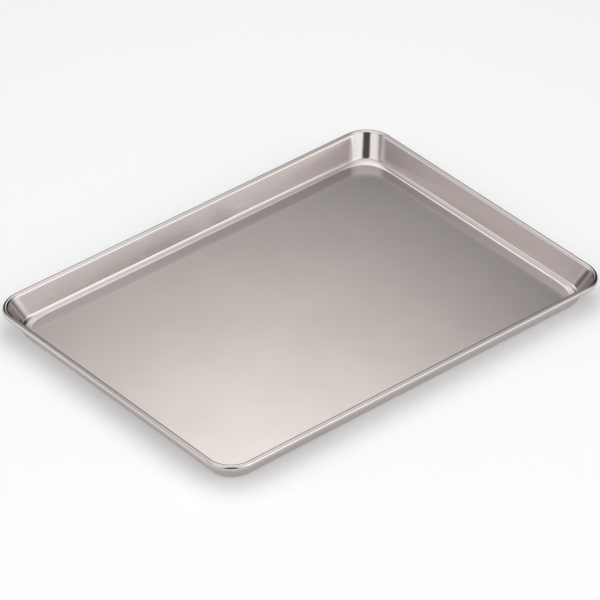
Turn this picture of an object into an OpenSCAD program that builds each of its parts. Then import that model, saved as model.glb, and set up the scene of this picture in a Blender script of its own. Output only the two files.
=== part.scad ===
// Jelly roll pan: a shallow rectangular baking pan pressed from one steel sheet,
// with its edge rolled over and round a steel wire that stiffens the rim.
// The pan stands on its flat floor at z = 0, centred on x = 0 and y = 0.

/* [Pan] */
// Length over the rolled rim
pan_length = 450; // [300:1:600]
// Width over the rolled rim
pan_width = 330; // [200:1:450]
// Height from the table to the top of the rim
pan_height = 25.4; // [18:0.2:45]
// Radius of the pan's corners over the rolled rim, seen from above
rim_corner_radius = 28; // [26:1:70]

/* [Sheet] */
// Thickness of the steel sheet
sheet = 0.8; // [0.5:0.1:1.2]
// How far the walls lean outwards from upright, in degrees
wall_lean = 22; // [10:0.5:32]
// Inner radius where the floor turns up into the walls
floor_fillet = 5.5; // [4:0.5:12]

/* [Rolled rim] */
// Diameter of the wire inside the rim
wire_d = 3.7; // [2.5:0.1:5]
// Space between the wire and the rolled sheet, all round
wire_clearance = 0.15; // [0.1:0.05:0.4]
// How far the sheet rolls round the wire, in degrees
roll_angle = 300; // [200:5:300]
// Gap between the two cut ends of the wire
wire_end_gap = 2; // [0.5:0.5:10]

/* [Hidden] */
$fn = 96;

// The roll: inner and outer radius of the sheet where it goes round the wire
roll_inner_r = wire_d / 2 + wire_clearance;
roll_r = roll_inner_r + sheet;

// The section is drawn with x = 0 at the centre of the floor fillet.
// The wall's inner face is a line at floor_fillet from that centre and touches the roll.
fillet_z = sheet + floor_fillet;
wire_z = pan_height - roll_r;
wall_run = (wire_z - fillet_z + (floor_fillet + roll_r) * sin(wall_lean)) / cos(wall_lean);
wire_x = (floor_fillet + roll_r) * cos(wall_lean) + wall_run * sin(wall_lean);

// Seen from above: the flat floor's corner radius, and the straight parts of the sides
wire_corner_r = rim_corner_radius - roll_r;
floor_corner_r = wire_corner_r - wire_x;
straight_x = pan_length - 2 * rim_corner_radius;
straight_y = pan_width - 2 * rim_corner_radius;

// The strip of floor that each swept edge carries inwards, lapped into the flat floor
floor_lap = floor_corner_r / 2;

// A wedge from the origin between two directions less than 180 degrees apart
module wedge(from, to, reach) {
    middle = (from + to) / 2;
    far = reach / cos((to - from) / 2);
    polygon([
        [0, 0],
        reach * [cos(from), sin(from)],
        far * [cos(middle), sin(middle)],
        reach * [cos(to), sin(to)]
    ]);
}

// A full ring of sheet round the origin, which the bends are cut from
module bent_sheet(inner_r) {
    difference() {
        circle(r = inner_r + sheet);
        circle(r = inner_r);
    }
}

// Strip of floor that the edge carries inwards. Past x = 0 it runs on a little under the
// fillet, trimmed to the bend's outside, so that floor and fillet join over the full thickness.
module floor_section() {
    intersection() {
        translate([-floor_lap, 0])
            square([floor_lap + sheet, sheet]);
        union() {
            translate([-floor_lap, 0])
                square([floor_lap, fillet_z]);
            translate([0, fillet_z])
                circle(r = floor_fillet + sheet);
        }
    }
}

// Floor to wall: a quarter turn less the lean, drawn square to the wall
module fillet_section() {
    intersection() {
        bent_sheet(floor_fillet);
        wedge(wall_lean - 90, 0, floor_fillet + 2 * sheet);
    }
}

// Straight wall, from the end of the fillet to where the roll begins
module wall_section() {
    translate([floor_fillet, 0])
        square([sheet, wall_run]);
}

// The roll: it leaves the wall at its inner face, goes over the top, out, down and back under
module roll_section() {
    translate([floor_fillet + roll_r, wall_run])
        difference() {
            bent_sheet(roll_inner_r);
            wedge(180, 540 - roll_angle, roll_r + sheet);
        }
}

// The whole edge of the pan, from the floor to the end of the roll
module edge_section() {
    floor_section();
    translate([0, fillet_z])
        rotate(-wall_lean) {
            fillet_section();
            wall_section();
            roll_section();
        }
}

// Sweeps a section once round the pan. The section's x = 0 runs at a distance from the
// corners' own centres, so it turns each corner on that radius.
module sweep_round(radius) {
    for (end = [0, 180])
        rotate(end)
            translate([straight_x / 2, straight_y / 2])
                rotate([90, 0, 0])
                    linear_extrude(straight_y)
                        translate([radius, 0])
                            children();
    for (side = [90, 270])
        rotate(side)
            translate([straight_y / 2, straight_x / 2])
                rotate([90, 0, 0])
                    linear_extrude(straight_x)
                        translate([radius, 0])
                            children();
    for (quarter = [0 : 3]) {
        side_x = (quarter == 0 || quarter == 3) ? 1 : -1;
        side_y = quarter < 2 ? 1 : -1;
        translate([side_x * straight_x / 2, side_y * straight_y / 2])
            rotate(90 * quarter)
                rotate_extrude(angle = 90)
                    translate([radius, 0])
                        children();
    }
}

// The flat floor, out to where the fillet begins
module floor_plate() {
    linear_extrude(sheet) {
        square([straight_x + 2 * floor_corner_r, straight_y], center = true);
        square([straight_x, straight_y + 2 * floor_corner_r], center = true);
        for (x = [-1, 1], y = [-1, 1])
            translate([x * straight_x / 2, y * straight_y / 2])
                circle(r = floor_corner_r);
    }
}

// The pan itself: floor, walls and rolled rim in one pressed sheet
module pan_shell() {
    color([0.74, 0.72, 0.70])
    union() {
        floor_plate();
        sweep_round(floor_corner_r)
            edge_section();
    }
}

// The wire: one round bar bent into a ring, its two cut ends facing each other at the back
module rim_wire() {
    color([0.55, 0.55, 0.56])
    translate([0, 0, wire_z])
    difference() {
        sweep_round(wire_corner_r)
            circle(d = wire_d);
        translate([-wire_end_gap / 2, straight_y / 2 + wire_corner_r - wire_d, -wire_d])
            cube([wire_end_gap, 2 * wire_d, 2 * wire_d]);
    }
}

pan_shell();
rim_wire();
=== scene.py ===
# %% [markdown]
# # A jelly roll pan in satin steel
# The pan is one pressed sheet of steel. Its edge is rolled over and round a steel wire, which
# stiffens the rim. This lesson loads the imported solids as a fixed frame, models the sheet again
# with a smooth surface, and gives both pieces a finish that reads as used but clean steel.
#
# All lengths are in metres. +X is along the pan, +Y across it, and the table is z = 0.

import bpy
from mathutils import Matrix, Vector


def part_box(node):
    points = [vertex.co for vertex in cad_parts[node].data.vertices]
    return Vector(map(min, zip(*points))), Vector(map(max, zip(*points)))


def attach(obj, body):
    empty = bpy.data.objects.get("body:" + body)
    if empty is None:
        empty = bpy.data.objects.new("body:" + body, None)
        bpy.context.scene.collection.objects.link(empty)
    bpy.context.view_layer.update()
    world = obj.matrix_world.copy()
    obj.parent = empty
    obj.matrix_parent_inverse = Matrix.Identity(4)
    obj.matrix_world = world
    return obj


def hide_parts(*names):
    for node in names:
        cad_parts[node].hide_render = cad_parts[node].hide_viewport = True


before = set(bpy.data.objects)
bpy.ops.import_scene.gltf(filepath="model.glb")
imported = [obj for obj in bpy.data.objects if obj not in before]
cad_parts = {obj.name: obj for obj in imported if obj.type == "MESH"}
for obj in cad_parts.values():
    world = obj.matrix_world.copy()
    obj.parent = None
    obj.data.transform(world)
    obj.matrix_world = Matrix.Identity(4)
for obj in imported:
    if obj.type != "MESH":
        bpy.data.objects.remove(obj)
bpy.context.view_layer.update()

from math import atan2, cos, degrees, pi, radians, sin, tan

import bmesh
import bpy
from mathutils import Vector

MM = 0.001

# %% [markdown]
# ## The sizes of the sheet
# The solids carry the real sizes. The outside sizes are read from them, and the sizes of the
# bent sheet are written here once more, because a mesh doesn't remember its radii.
# The place where each bend begins follows from them, as it does on the press tool.

# %% Sizes of the pan
low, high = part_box("pan_shell")
PAN_LENGTH, PAN_WIDTH, PAN_HEIGHT = high - low
RIM_CORNER_RADIUS = 28 * MM
SHEET = 0.8 * MM
WALL_LEAN = radians(22)
FLOOR_FILLET = 5.5 * MM
ROLL_RADIUS = 2.8 * MM
ROLL_ANGLE = radians(300)

FILLET_Z = SHEET + FLOOR_FILLET
ROLL_Z = PAN_HEIGHT - ROLL_RADIUS
WALL_RUN = (ROLL_Z - FILLET_Z + (FLOOR_FILLET + ROLL_RADIUS) * sin(WALL_LEAN)) / cos(WALL_LEAN)
ROLL_OUT = (FLOOR_FILLET + ROLL_RADIUS) * cos(WALL_LEAN) + WALL_RUN * sin(WALL_LEAN)
WIRE_CORNER_RADIUS = RIM_CORNER_RADIUS - ROLL_RADIUS
FLOOR_CORNER_RADIUS = WIRE_CORNER_RADIUS - ROLL_OUT
STRAIGHT_X = PAN_LENGTH - 2 * RIM_CORNER_RADIUS
STRAIGHT_Y = PAN_WIDTH - 2 * RIM_CORNER_RADIUS
print("pan (mm):", *(round(size / MM, 2) for size in (PAN_LENGTH, PAN_WIDTH, PAN_HEIGHT)))
print("wall (mm):", round(WALL_RUN / MM, 2))
print("floor corner radius (mm):", round(FLOOR_CORNER_RADIUS / MM, 2))

# %% [markdown]
# ## The camera
# The pan is seen from above one corner with a long lens, as in a product photograph, so its
# opposite sides look almost parallel. A long lens from far away keeps that calm drawing.

# %% Camera
CAMERA_AZIMUTH = radians(40.5347)
CAMERA_ELEVATION = radians(35.7077)
CAMERA_DISTANCE = 4.9982
CAMERA_TARGET = Vector((0.0127523, 0.0167717, 0))
CAMERA_REACH = 100
SENSOR_WIDTH = 36
LENS = 332.989

look = Vector((
    sin(CAMERA_AZIMUTH) * cos(CAMERA_ELEVATION),
    cos(CAMERA_AZIMUTH) * cos(CAMERA_ELEVATION),
    -sin(CAMERA_ELEVATION),
))
camera = bpy.data.objects.new("camera", bpy.data.cameras.new("camera"))
bpy.context.scene.collection.objects.link(camera)
camera.location = CAMERA_TARGET - CAMERA_DISTANCE * look
camera.rotation_euler = look.to_track_quat("-Z", "Y").to_euler()
camera.data.sensor_width = SENSOR_WIDTH
camera.data.lens = LENS
camera.data.clip_end = CAMERA_REACH
bpy.context.scene.camera = camera
print("camera at", [round(v, 3) for v in camera.location])

# %% [markdown]
# ## The section of the sheet
# A pressed pan is the same section all the way round: a little floor, a soft bend, a leaning
# wall and the roll. It is drawn as one line of points on the inner face of the sheet, starting
# from a single point. Extrude draws the straight runs and spin draws the bends, so each bend
# has its true radius.

# %% Helpers for edit mode
def start_point(name, place):
    """A new mesh of one point, open in edit mode with that point selected."""
    bpy.ops.object.select_all(action="DESELECT")
    bpy.ops.mesh.primitive_plane_add(size=MM, location=place)
    piece = bpy.context.object
    piece.name = piece.data.name = name
    bpy.ops.object.transform_apply(location=True, rotation=True, scale=True)
    bpy.ops.object.mode_set(mode="EDIT")
    bpy.ops.mesh.select_all(action="SELECT")
    bpy.ops.mesh.merge(type="CENTER")
    return piece


def extrude_by(step, count):
    """Extrudes what is selected along a step, again and again."""
    for _ in range(count):
        bpy.ops.mesh.extrude_region_move(TRANSFORM_OT_translate={"value": step})


def spin_by(angle, steps, centre, axis):
    """Turns what is selected round an axis, by the right-hand rule, and leaves a bend behind it."""
    bpy.ops.mesh.spin(steps=steps, angle=-angle, center=centre, axis=axis)


# %% Draw the section at the start of the right-hand end
FLOOR_LAP = 1.5 * MM
FILLET_STEPS = 12
WALL_STEPS = 16
ROLL_STEPS = 40

floor_edge = STRAIGHT_X / 2 + FLOOR_CORNER_RADIUS
section_y = -STRAIGHT_Y / 2
shell = start_point("pan_sheet", (floor_edge - FLOOR_LAP, section_y, SHEET))
extrude_by((FLOOR_LAP, 0, 0), 1)
spin_by(pi / 2 - WALL_LEAN, FILLET_STEPS, (floor_edge, section_y, FILLET_Z), (0, -1, 0))
wall_step = WALL_RUN / WALL_STEPS
extrude_by((wall_step * sin(WALL_LEAN), 0, wall_step * cos(WALL_LEAN)), WALL_STEPS)
roll_centre = (floor_edge + ROLL_OUT, section_y, ROLL_Z)
spin_by(ROLL_ANGLE, ROLL_STEPS, roll_centre, (0, 1, 0))
section = [point.co.copy() for point in bmesh.from_edit_mesh(shell.data).verts]
print("section:", len(section), "points, top at (mm)", round(max(p.z for p in section) / MM, 3),
      "out to (mm)", round(max(p.x for p in section) / MM, 3))

# %% [markdown]
# ## Once round the pan
# The section now travels once round the pan: extruded along each side and spun a quarter turn
# at each corner about the corner's own centre. The last corner meets the first side, and
# merging doubles closes the ring. The steps are short near the corners, where the wall will
# ease into the side, and long along the rest.

# %% Sweep the section round the pan
SIDE_STEP = 15 * MM
END_LENGTH, END_STEPS = 36 * MM, 14
CORNER_STEPS = 24
SAME_PLACE = 0.01 * MM

bpy.ops.mesh.select_all(action="SELECT")
corners = [(1, 1), (-1, 1), (-1, -1), (1, -1)]
runs = [(0, 1, STRAIGHT_Y), (-1, 0, STRAIGHT_X), (0, -1, STRAIGHT_Y), (1, 0, STRAIGHT_X)]
for (side_x, side_y), (along_x, along_y, run) in zip(corners, runs):
    middle = run - 2 * END_LENGTH
    middle_steps = round(middle / SIDE_STEP)
    for length, steps in (
        (END_LENGTH, END_STEPS), (middle, middle_steps), (END_LENGTH, END_STEPS),
    ):
        extrude_by((along_x * length / steps, along_y * length / steps, 0), steps)
    centre = (side_x * STRAIGHT_X / 2, side_y * STRAIGHT_Y / 2, 0)
    spin_by(pi / 2, CORNER_STEPS, centre, (0, 0, 1))
bpy.ops.mesh.select_all(action="SELECT")
bpy.ops.mesh.remove_doubles(threshold=SAME_PLACE)
print("ring:", len(bmesh.from_edit_mesh(shell.data).verts), "points")

# %% [markdown]
# ## Rounder corners at the floor
# One section on the rim's own corner centres leaves the floor's corners tight, under 10 mm.
# A press draws them wider, so a corner wall leans more than a side wall. Each level of the ring
# gets its own corner radius: the corner's points move to the wider arc, and the points along
# the sides close up to meet it. The roll keeps its place.

# %% Widen the corners towards the floor
FLOOR_CORNER_DRAWN = 20 * MM
CORNER_GROWTH = FLOOR_CORNER_DRAWN - FLOOR_CORNER_RADIUS
WALL_TOP_Z = ROLL_Z + ROLL_RADIUS * sin(WALL_LEAN)
WALL_TOP_RADIUS = WIRE_CORNER_RADIUS - ROLL_RADIUS * cos(WALL_LEAN)


def sides_of(place):
    """On which side of the pan's middle a place is, 1 or -1 along each axis."""
    return (1 if place.x > 0 else -1), (1 if place.y > 0 else -1)


def corner_growth(out, height):
    """How much wider than drawn the corner arc is, at a distance out from its centre."""
    from_wire = Vector((out - WIRE_CORNER_RADIUS, height - ROLL_Z)).length
    if from_wire < ROLL_RADIUS + SAME_PLACE:
        return 0
    return CORNER_GROWTH * (WALL_TOP_Z - height) / (WALL_TOP_Z - SHEET)


half_x, half_y = STRAIGHT_X / 2, STRAIGHT_Y / 2
for point in bmesh.from_edit_mesh(shell.data).verts:
    x, y, z = point.co
    past_x, past_y = abs(x) - half_x, abs(y) - half_y
    side_x, side_y = sides_of(point.co)
    out = Vector((max(past_x, 0), max(past_y, 0))).length
    growth = corner_growth(out, z)
    if past_x > 0 and past_y > 0:
        widen = growth / out
        point.co.x = side_x * (half_x - growth + past_x * (1 + widen))
        point.co.y = side_y * (half_y - growth + past_y * (1 + widen))
    elif past_x > past_y:
        point.co.y = y * (1 - growth / half_y)
    else:
        point.co.x = x * (1 - growth / half_x)
bmesh.update_edit_mesh(shell.data)
print("corner radius at the floor (mm):", round((FLOOR_CORNER_RADIUS + CORNER_GROWTH) / MM, 2))

# %% [markdown]
# ## Corners that ease into the sides
# A straight line that runs into an arc shows as a hard line in bright steel, and drawn steel
# has no such line. So each level of the wall gets easements like a railway bend's: a point
# moves to the mean of the places a little before and after it along its own level. The rim
# keeps its true arc, and the easement grows down the wall to the floor.

# %% Ease the corners
EASEMENT = 40 * MM
EASE_SAMPLES = 48


def place_along(distance, centre_x, centre_y, radius):
    """A place on one quarter of a level, by its distance from the middle of the short side."""
    turn = (distance - centre_y) / radius
    if turn < 0:
        return Vector((centre_x + radius, distance))
    if turn > pi / 2:
        return Vector((centre_x - (turn - pi / 2) * radius, centre_y + radius))
    return Vector((centre_x + radius * cos(turn), centre_y + radius * sin(turn)))


for point in bmesh.from_edit_mesh(shell.data).verts:
    x, y, z = point.co
    side_x, side_y = sides_of(point.co)
    depth = min(1, max(0, (WALL_TOP_Z - z) / (WALL_TOP_Z - SHEET)))
    growth = CORNER_GROWTH * depth
    centre_x, centre_y = half_x - growth, half_y - growth
    past = Vector((abs(x) - centre_x, abs(y) - centre_y))
    radius = Vector((max(past.x, 0), max(past.y, 0))).length
    if depth == 0 or radius > WALL_TOP_RADIUS:
        continue
    if past.x > 0 and past.y > 0:
        distance = centre_y + radius * atan2(past.y, past.x)
    else:
        distance = abs(y) if past.x > past.y else centre_y + radius * pi / 2 - past.x
    steps = [EASEMENT * depth * ((i + 0.5) / EASE_SAMPLES - 0.5) for i in range(EASE_SAMPLES)]
    mean = sum((place_along(distance + step, centre_x, centre_y, radius) for step in steps),
               Vector((0, 0))) / EASE_SAMPLES
    point.co.x, point.co.y = side_x * mean.x, side_y * mean.y
bmesh.update_edit_mesh(shell.data)
print("easement at the floor (mm):", round(EASEMENT / MM, 1))

# %% [markdown]
# ## Floor and thickness
# The ring's inner edge is filled with one flat face for the floor. The faces are turned to
# look into the pan, and Solidify then gives the sheet its thickness on the other side, so the
# sizes of the inner face stay as drawn.

# %% Fill the floor and thicken the sheet
SHARP_ANGLE = radians(40)

bpy.ops.mesh.select_all(action="DESELECT")
bpy.ops.mesh.select_mode(type="EDGE")
mesh = bmesh.from_edit_mesh(shell.data)
for edge in mesh.edges:
    on_floor = all(abs(end.co.z - SHEET) < SAME_PLACE for end in edge.verts)
    edge.select = edge.is_boundary and on_floor
edge_points = sum(edge.select for edge in mesh.edges)
bmesh.update_edit_mesh(shell.data)
bpy.ops.mesh.edge_face_add()
bpy.ops.mesh.select_all(action="SELECT")
bpy.ops.mesh.normals_make_consistent(inside=False)
bpy.ops.object.mode_set(mode="OBJECT")
floor_face = max(shell.data.polygons, key=lambda face: face.area)
if floor_face.normal.z < 0:
    shell.data.flip_normals()
thickness = shell.modifiers.new("sheet", "SOLIDIFY")
thickness.thickness = SHEET
thickness.offset = -1  # all of it behind the drawn face
thickness.use_even_offset = True
bpy.ops.object.modifier_apply(modifier=thickness.name)
bpy.ops.object.shade_smooth_by_angle(angle=SHARP_ANGLE)
print("floor edge:", edge_points, "points; sheet:", len(shell.data.polygons), "faces")

# %% [markdown]
# ## Building blocks for a finish
# A finish is a tree of nodes that turns a place on the piece into roughness, colour and tiny
# relief. A few small functions keep such a tree readable: a step that goes softly from one
# value to another, soft noise, a mix of two colours, and a bump with its depth in metres.

# %% Helpers for node trees
def add_node(tree, kind, operation=None, **values):
    """A node with its inputs set by name or by number; a socket as a value is linked instead."""
    node = tree.nodes.new(kind)
    if operation:
        node.operation = operation
    for key, value in values.items():
        by_number = key[0] == "i" and key[1:].isdigit()
        socket = node.inputs[int(key[1:]) if by_number else key]
        if isinstance(value, bpy.types.NodeSocket):
            tree.links.new(value, socket)
        else:
            socket.default_value = value
    return node


def calculate(tree, operation, a, b=0.0):
    """One sum of two values, or a change of the first alone."""
    return add_node(tree, "ShaderNodeMath", operation, i0=a, i1=b).outputs[0]


def times(tree, a, b):
    """The product of two values."""
    return calculate(tree, "MULTIPLY", a, b)


def plus(tree, a, b):
    """The sum of two values."""
    return calculate(tree, "ADD", a, b)


def smooth_step(tree, value, start, end, low=0.0, high=1.0):
    """Goes smoothly from low to high while the value goes from start to end."""
    step = add_node(tree, "ShaderNodeMapRange", Value=value)
    step.interpolation_type = "SMOOTHSTEP"
    for name, number in (("From Min", start), ("From Max", end), ("To Min", low), ("To Max", high)):
        step.inputs[name].default_value = number
    return step.outputs[0]


def noise(tree, place, scale, detail=2.0, stretch=None):
    """Soft random values from 0 to 1. Stretch scales the pattern along each axis."""
    if stretch:
        stretched = add_node(tree, "ShaderNodeVectorMath", "MULTIPLY", i0=place, i1=stretch)
        place = stretched.outputs[0]
    texture = add_node(tree, "ShaderNodeTexNoise", Vector=place, Scale=scale, Detail=detail)
    return texture.outputs["Fac"]


def mix_colours(tree, share, colour, other):
    """One colour where the share is 0, the other where it is 1."""
    mix = add_node(tree, "ShaderNodeMix", i0=share)
    mix.data_type = "RGBA"
    mix.inputs[6].default_value = (*colour, 1)
    mix.inputs[7].default_value = (*other, 1)
    return mix.outputs[2]


def bump(tree, height, depth, **under):
    """Relief of a depth in metres, on top of the relief under it."""
    node = add_node(tree, "ShaderNodeBump", Height=height, Strength=1.0, Distance=depth, **under)
    return node.outputs[0]


def new_steel(name):
    """An empty metal finish with its tree and shader, for the pattern to be added to."""
    finish = bpy.data.materials.new(name)
    finish.use_nodes = True
    shader = finish.node_tree.nodes["Principled BSDF"]
    shader.inputs["Metallic"].default_value = 1
    return finish, finish.node_tree, shader


# %% [markdown]
# ## Satin steel
# Rolled stainless steel is bright, but it isn't a mirror. Rolling leaves fine lines along the
# sheet, handling leaves hazy patches and a few hair scratches, and the rim's top is polished
# where hands and cloths touch it. Nearly all of this lives in the roughness and in a bump of
# about a hundredth of a millimetre. The lines run along the pan and spread what it mirrors
# across them, so they brighten the long walls. They follow the sheet up its walls, so the
# coordinate across them runs on from the floor up the long walls.

# %% Rolling lines and haze
POLISHED, HAZY = 0.085, 0.120
HAZE_PER_METRE, HAZE_FROM, HAZE_TO = 11, 0.36, 0.68
GRAIN_PER_METRE = (30, 6000, 1)
GRAIN_ROUGHNESS = 0.030
UP_WALL = 0.7

satin_steel, tree, shader = new_steel("satin_steel")
coordinates = add_node(tree, "ShaderNodeTexCoord")
place = coordinates.outputs["Object"]
axes = add_node(tree, "ShaderNodeSeparateXYZ", Vector=place)
normal = add_node(tree, "ShaderNodeSeparateXYZ", Vector=coordinates.outputs["Normal"])
facing_y = calculate(tree, "ABSOLUTE", normal.outputs["Y"])
side = calculate(tree, "SIGN", axes.outputs["Y"])
up_wall = times(tree, times(tree, axes.outputs["Z"], facing_y), times(tree, side, UP_WALL))
across = plus(tree, axes.outputs["Y"], up_wall)
sheet_place = add_node(tree, "ShaderNodeCombineXYZ", X=axes.outputs["X"], Y=across).outputs[0]

grain = noise(tree, sheet_place, 1, detail=3, stretch=GRAIN_PER_METRE)
haze = smooth_step(tree, noise(tree, place, HAZE_PER_METRE, detail=3), HAZE_FROM, HAZE_TO)
roughness = smooth_step(tree, haze, 0, 1, POLISHED, HAZY)
roughness = plus(tree, roughness, times(tree, plus(tree, grain, -0.5), GRAIN_ROUGHNESS * 2))
print("lines and haze:", len(tree.nodes), "nodes")

# %% [markdown]
# ### Hair scratches
# A long soft noise passes its middle value along thin wandering lines. Those lines are the
# scratches, and a second noise keeps them to a few patches. Three layers, each turned another
# way and of another size, make them cross.

# %% Hair scratches and the polished rim
SCRATCH_LAYERS = ((0.5, 9), (-0.9, 7), (1.7, 12))  # turned by, lines per metre
SCRATCH_STRETCH = (0.35, 4, 1)
SCRATCH_DETAIL = 1.5
SCRATCH_WIDTH = 0.0022
PATCH_RATIO, PATCH_FROM, PATCH_TO = 1.3, 0.54, 0.68
SCRATCH_ROUGHNESS = 0.08
RIM_TOP = 1.5 * MM
RIM_POLISH = -0.03

scratches = None
for turn, scale in SCRATCH_LAYERS:
    turned = add_node(tree, "ShaderNodeVectorRotate", Vector=place, Angle=turn).outputs[0]
    lines = noise(tree, turned, scale, SCRATCH_DETAIL, SCRATCH_STRETCH)
    off_line = calculate(tree, "ABSOLUTE", plus(tree, lines, -0.5))
    line = smooth_step(tree, off_line, SCRATCH_WIDTH, 0, 0, 1)
    patch = noise(tree, turned, scale * PATCH_RATIO, detail=1)
    patch = smooth_step(tree, patch, PATCH_FROM, PATCH_TO)
    line = times(tree, line, patch)
    scratches = plus(tree, scratches, line) if scratches else line
roughness = plus(tree, roughness, times(tree, scratches, SCRATCH_ROUGHNESS))
rim_top = smooth_step(tree, axes.outputs["Z"], PAN_HEIGHT - RIM_TOP, PAN_HEIGHT)
roughness = plus(tree, roughness, times(tree, rim_top, RIM_POLISH))
tree.links.new(roughness, shader.inputs["Roughness"])
print("with scratches:", len(tree.nodes), "nodes")

# %% [markdown]
# ### Colour and relief
# The haze is a shade darker than the clean steel. The relief has three layers: the slow waves
# that every rolled sheet keeps, the rolling lines, and the scratches cut into both.

# %% Colour and relief of the sheet
STEEL_COLOUR = (0.565, 0.522, 0.507)
HAZE_COLOUR = (0.543, 0.500, 0.485)
WAVES_PER_METRE, WAVE_DEPTH = 26, 0.006 * MM
GRAIN_DEPTH = 0.011 * MM
SCRATCH_DEPTH = 0.001 * MM

tree.links.new(mix_colours(tree, haze, STEEL_COLOUR, HAZE_COLOUR), shader.inputs["Base Color"])
wavy = bump(tree, noise(tree, place, WAVES_PER_METRE, detail=1), WAVE_DEPTH)
grained = bump(tree, grain, GRAIN_DEPTH, Normal=wavy)
scratched = bump(tree, times(tree, scratches, -1), SCRATCH_DEPTH, Normal=grained)
tree.links.new(scratched, shader.inputs["Normal"])
shell.data.materials.clear()
shell.data.materials.append(satin_steel)
print("satin steel:", len(tree.nodes), "nodes")

# %% [markdown]
# ## Drawn steel of the wire
# The wire is pulled through a die, which leaves it duller than the sheet, with fine lines
# along it and a little oxide. It shows only in the slit under the rolled rim.

# %% Drawn steel of the wire
WIRE_COLOUR = (0.50, 0.49, 0.48)
OXIDE_COLOUR = (0.36, 0.34, 0.32)
DRAWN_PER_METRE, DRAWN_DEPTH = (120, 120, 4000), 0.004 * MM
OXIDE_PER_METRE, OXIDE_FROM, OXIDE_TO = 140, 0.5, 0.72
WIRE_ROUGHNESS, DRAWN_ROUGHNESS, OXIDE_ROUGHNESS = 0.22, 0.16, 0.14

wire_steel, tree, shader = new_steel("wire_steel")
place = add_node(tree, "ShaderNodeTexCoord").outputs["Object"]
drawn = noise(tree, place, 1, detail=2, stretch=DRAWN_PER_METRE)
oxide = noise(tree, place, OXIDE_PER_METRE, detail=4)
oxide = smooth_step(tree, oxide, OXIDE_FROM, OXIDE_TO)
tree.links.new(mix_colours(tree, oxide, WIRE_COLOUR, OXIDE_COLOUR), shader.inputs["Base Color"])
dull = plus(tree, times(tree, drawn, DRAWN_ROUGHNESS), times(tree, oxide, OXIDE_ROUGHNESS))
tree.links.new(plus(tree, dull, WIRE_ROUGHNESS), shader.inputs["Roughness"])
tree.links.new(bump(tree, drawn, DRAWN_DEPTH), shader.inputs["Normal"])
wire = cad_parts["rim_wire"]
wire.data.materials.clear()
wire.data.materials.append(wire_steel)
print("wire steel:", len(tree.nodes), "nodes")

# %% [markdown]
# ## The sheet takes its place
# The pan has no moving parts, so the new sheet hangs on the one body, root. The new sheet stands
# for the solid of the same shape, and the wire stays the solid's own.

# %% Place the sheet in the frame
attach(shell, "root")
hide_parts("pan_shell")
print("sheet stands for pan_shell:", shell.name)

# %% [markdown]
# ## Table
# Bare steel shows its surroundings more than its own colour, so the light is built as a small
# studio. The pan stands on a pale table that glows a little, like a sheet of milk glass with a
# lamp under it. That keeps the background light and the pan's shadow soft.

# %% Pale table, lit faintly from below
TABLE_SIZE = 12
TABLE_COLOUR, TABLE_GLOW = (0.88, 0.88, 0.88, 1), 0.16
TABLE_ROUGHNESS = 0.9
WHITE = (1, 1, 1, 1)

bpy.ops.object.select_all(action="DESELECT")
bpy.ops.mesh.primitive_plane_add(size=TABLE_SIZE, location=(0, 0, 0))
table = bpy.context.object
table.name = "table"
table_finish = bpy.data.materials.new("pale_table")
table_finish.use_nodes = True
table_shader = table_finish.node_tree.nodes["Principled BSDF"]
for name, value in (
    ("Base Color", TABLE_COLOUR), ("Roughness", TABLE_ROUGHNESS),
    ("Emission Color", WHITE), ("Emission Strength", TABLE_GLOW),
):
    table_shader.inputs[name].default_value = value
table.data.materials.append(table_finish)
print("table:", TABLE_SIZE, "m square")

# %% [markdown]
# ## Room
# The room is dim beyond the pan and a little lighter behind the camera. Low down on two
# opposite sides it is bright, as if long windows stood there: the far walls of the pan lean so
# that they mirror just those sides. Upwards that light first grows, then falls off in two steps.

# %% Dim room round the table
ROOM_FAR, ROOM_NEAR = 0.02, 0.11
ROOM_TURN = 0.3
SIDE_FLAT, SIDE_LOW, SIDE_HIGH, SIDE_TOP = 0.82, 2.1, 0.95, 0.05
SIDE_AXIS, SIDE_NARROWNESS = radians(232), 5.0
# Height of a direction, from 0 level to 1 straight up, where each change starts and ends
TO_LOW, TO_HIGH, TO_TOP = (0.03, 0.11), (0.18, 0.34), (0.62, 0.80)

room = bpy.data.worlds.new("room")
bpy.context.scene.world = room
room.use_nodes = True
tree = room.node_tree
direction = add_node(tree, "ShaderNodeTexCoord").outputs["Generated"]
height = add_node(tree, "ShaderNodeSeparateXYZ", Vector=direction).outputs["Z"]


def facing(azimuth):
    """How much a direction into the room points to an azimuth: 1 is straight to it."""
    towards = Vector((sin(azimuth), cos(azimuth), 0))
    product = add_node(tree, "ShaderNodeVectorMath", "DOT_PRODUCT", i0=direction, i1=towards)
    return product.outputs["Value"]


base = smooth_step(
    tree, facing(CAMERA_AZIMUTH + pi), -ROOM_TURN, ROOM_TURN, ROOM_FAR, ROOM_NEAR)
along_axis = facing(SIDE_AXIS)
sideways = calculate(tree, "SUBTRACT", 1.0, times(tree, along_axis, along_axis))
sideways = calculate(tree, "POWER", sideways, SIDE_NARROWNESS)
level = smooth_step(tree, height, *TO_LOW, SIDE_FLAT, SIDE_LOW)
level = plus(tree, level, smooth_step(tree, height, *TO_HIGH, 0, SIDE_HIGH - SIDE_LOW))
level = plus(tree, level, smooth_step(tree, height, *TO_TOP, 0, SIDE_TOP - SIDE_HIGH))
glow = plus(tree, base, times(tree, level, sideways))
tree.links.new(glow, tree.nodes["Background"].inputs["Strength"])
tree.nodes["Background"].inputs["Color"].default_value = WHITE
bpy.context.scene.view_settings.view_transform = "Standard"
print("room:", len(tree.nodes), "nodes")

# %% [markdown]
# ## Soft panels
# Three large panels stand round the table. Two are left and right of the camera and leave a
# gap between them, which shows as the dark stripe in the far corner. The third hangs beyond
# the pan and lights the floor of it by reflection. Each fades towards its edges, as cloth over
# a lamp does, and where it has faded it is clear and the room shows through.

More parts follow.
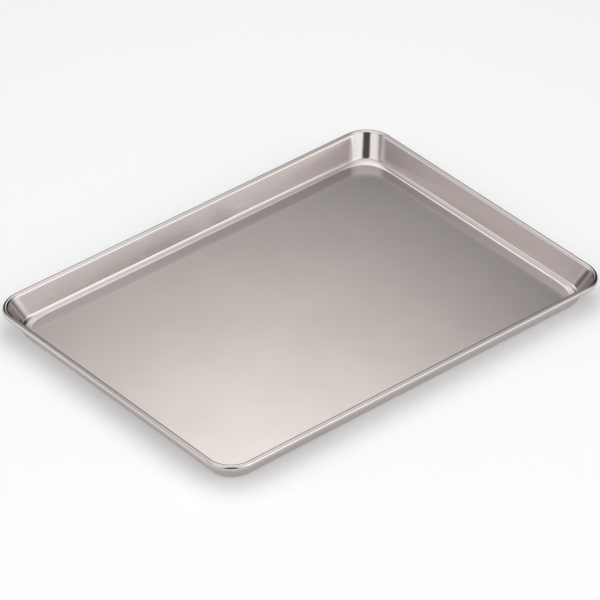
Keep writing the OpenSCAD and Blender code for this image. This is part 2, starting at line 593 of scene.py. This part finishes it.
# %% Soft panels
PANEL_DISTANCE = 1.8
COOL, WARM = (0.99, 0.995, 1.01), (1, 0.983, 0.95)


def soft_panel(name, azimuth, elevation, distance, width, height, strength, fade, tint):
    """A glowing cloth that faces the pan. Its light fades over a share of its width or height
    from the right, left, lower and upper edge, as seen from the pan."""
    azimuth, elevation = radians(azimuth), radians(elevation)
    place = distance * Vector((
        sin(azimuth) * cos(elevation), cos(azimuth) * cos(elevation), sin(elevation),
    ))
    bpy.ops.mesh.primitive_plane_add(size=1, location=place)
    panel = bpy.context.object
    panel.name = name
    panel.scale = (width, height, 1)
    panel.rotation_euler = place.to_track_quat("Z", "Y").to_euler()
    panel.visible_camera = False
    cloth = bpy.data.materials.new(name)
    cloth.use_nodes = True
    tree = cloth.node_tree
    tree.nodes.clear()
    coordinates = add_node(tree, "ShaderNodeTexCoord")
    across = add_node(tree, "ShaderNodeSeparateXYZ", Vector=coordinates.outputs["UV"])
    light = None
    for axis, from_start, from_end in (("X", *fade[:2]), ("Y", *fade[2:])):
        start = smooth_step(tree, across.outputs[axis], 0, from_start)
        end = smooth_step(tree, across.outputs[axis], 1, 1 - from_end)
        both = times(tree, start, end)
        light = times(tree, light, both) if light else both
    light = times(tree, light, strength)
    glow = add_node(tree, "ShaderNodeEmission", Color=(*tint, 1), Strength=light)
    clear = add_node(tree, "ShaderNodeBsdfTransparent")
    both = add_node(tree, "ShaderNodeAddShader", i0=glow.outputs[0], i1=clear.outputs[0])
    add_node(tree, "ShaderNodeOutputMaterial", Surface=both.outputs[0])
    panel.data.materials.append(cloth)
    return panel


def span(degrees_wide):
    """How wide a panel is that fills so many degrees as seen from the pan."""
    return 2 * PANEL_DISTANCE * tan(radians(degrees_wide / 2))


panels = [
    # name, azimuth, elevation, degrees wide, degrees high, strength, fades, tint
    ("panel_right", 171, 32, 58, 62, 1.45, (0.10, 0.5, 0.4, 0.4), COOL),
    ("panel_left", 269, 32, 56, 62, 1.36, (0.5, 0.10, 0.4, 0.4), COOL),
    ("panel_beyond", 37.8, 44.2, 44, 43, 1.36, (0.5, 0.5, 0.5, 0.5), WARM),
]
for name, azimuth, elevation, wide, high, strength, fade, tint in panels:
    soft_panel(name, azimuth, elevation, PANEL_DISTANCE, span(wide), span(high), strength,
               fade, tint)
print("panels:", [panel[0] for panel in panels])

# %% [markdown]
# ## Panel overhead
# The last panel lies flat over the table. It lights the table, and it draws the bright lines
# where the floor bends up into the walls. Its middle is weaker than the other panels, so that
# the floor still looks like steel when the pan is seen from straight above.

# %% Panel overhead
OVERHEAD_PLACE, OVERHEAD_SIZE = Vector((0.1, 0.16, 1.5)), 3.2
OVERHEAD_STRENGTH, OVERHEAD_FADE = 1.2, 0.35

azimuth = degrees(atan2(OVERHEAD_PLACE.x, OVERHEAD_PLACE.y))
elevation = degrees(atan2(OVERHEAD_PLACE.z, OVERHEAD_PLACE.xy.length))
overhead = soft_panel("panel_overhead", azimuth, elevation, OVERHEAD_PLACE.length, OVERHEAD_SIZE,
                      OVERHEAD_SIZE, OVERHEAD_STRENGTH, (OVERHEAD_FADE,) * 4, COOL)
overhead.rotation_euler = (0, 0, 0)
print("overhead panel at", [round(v, 2) for v in overhead.location])
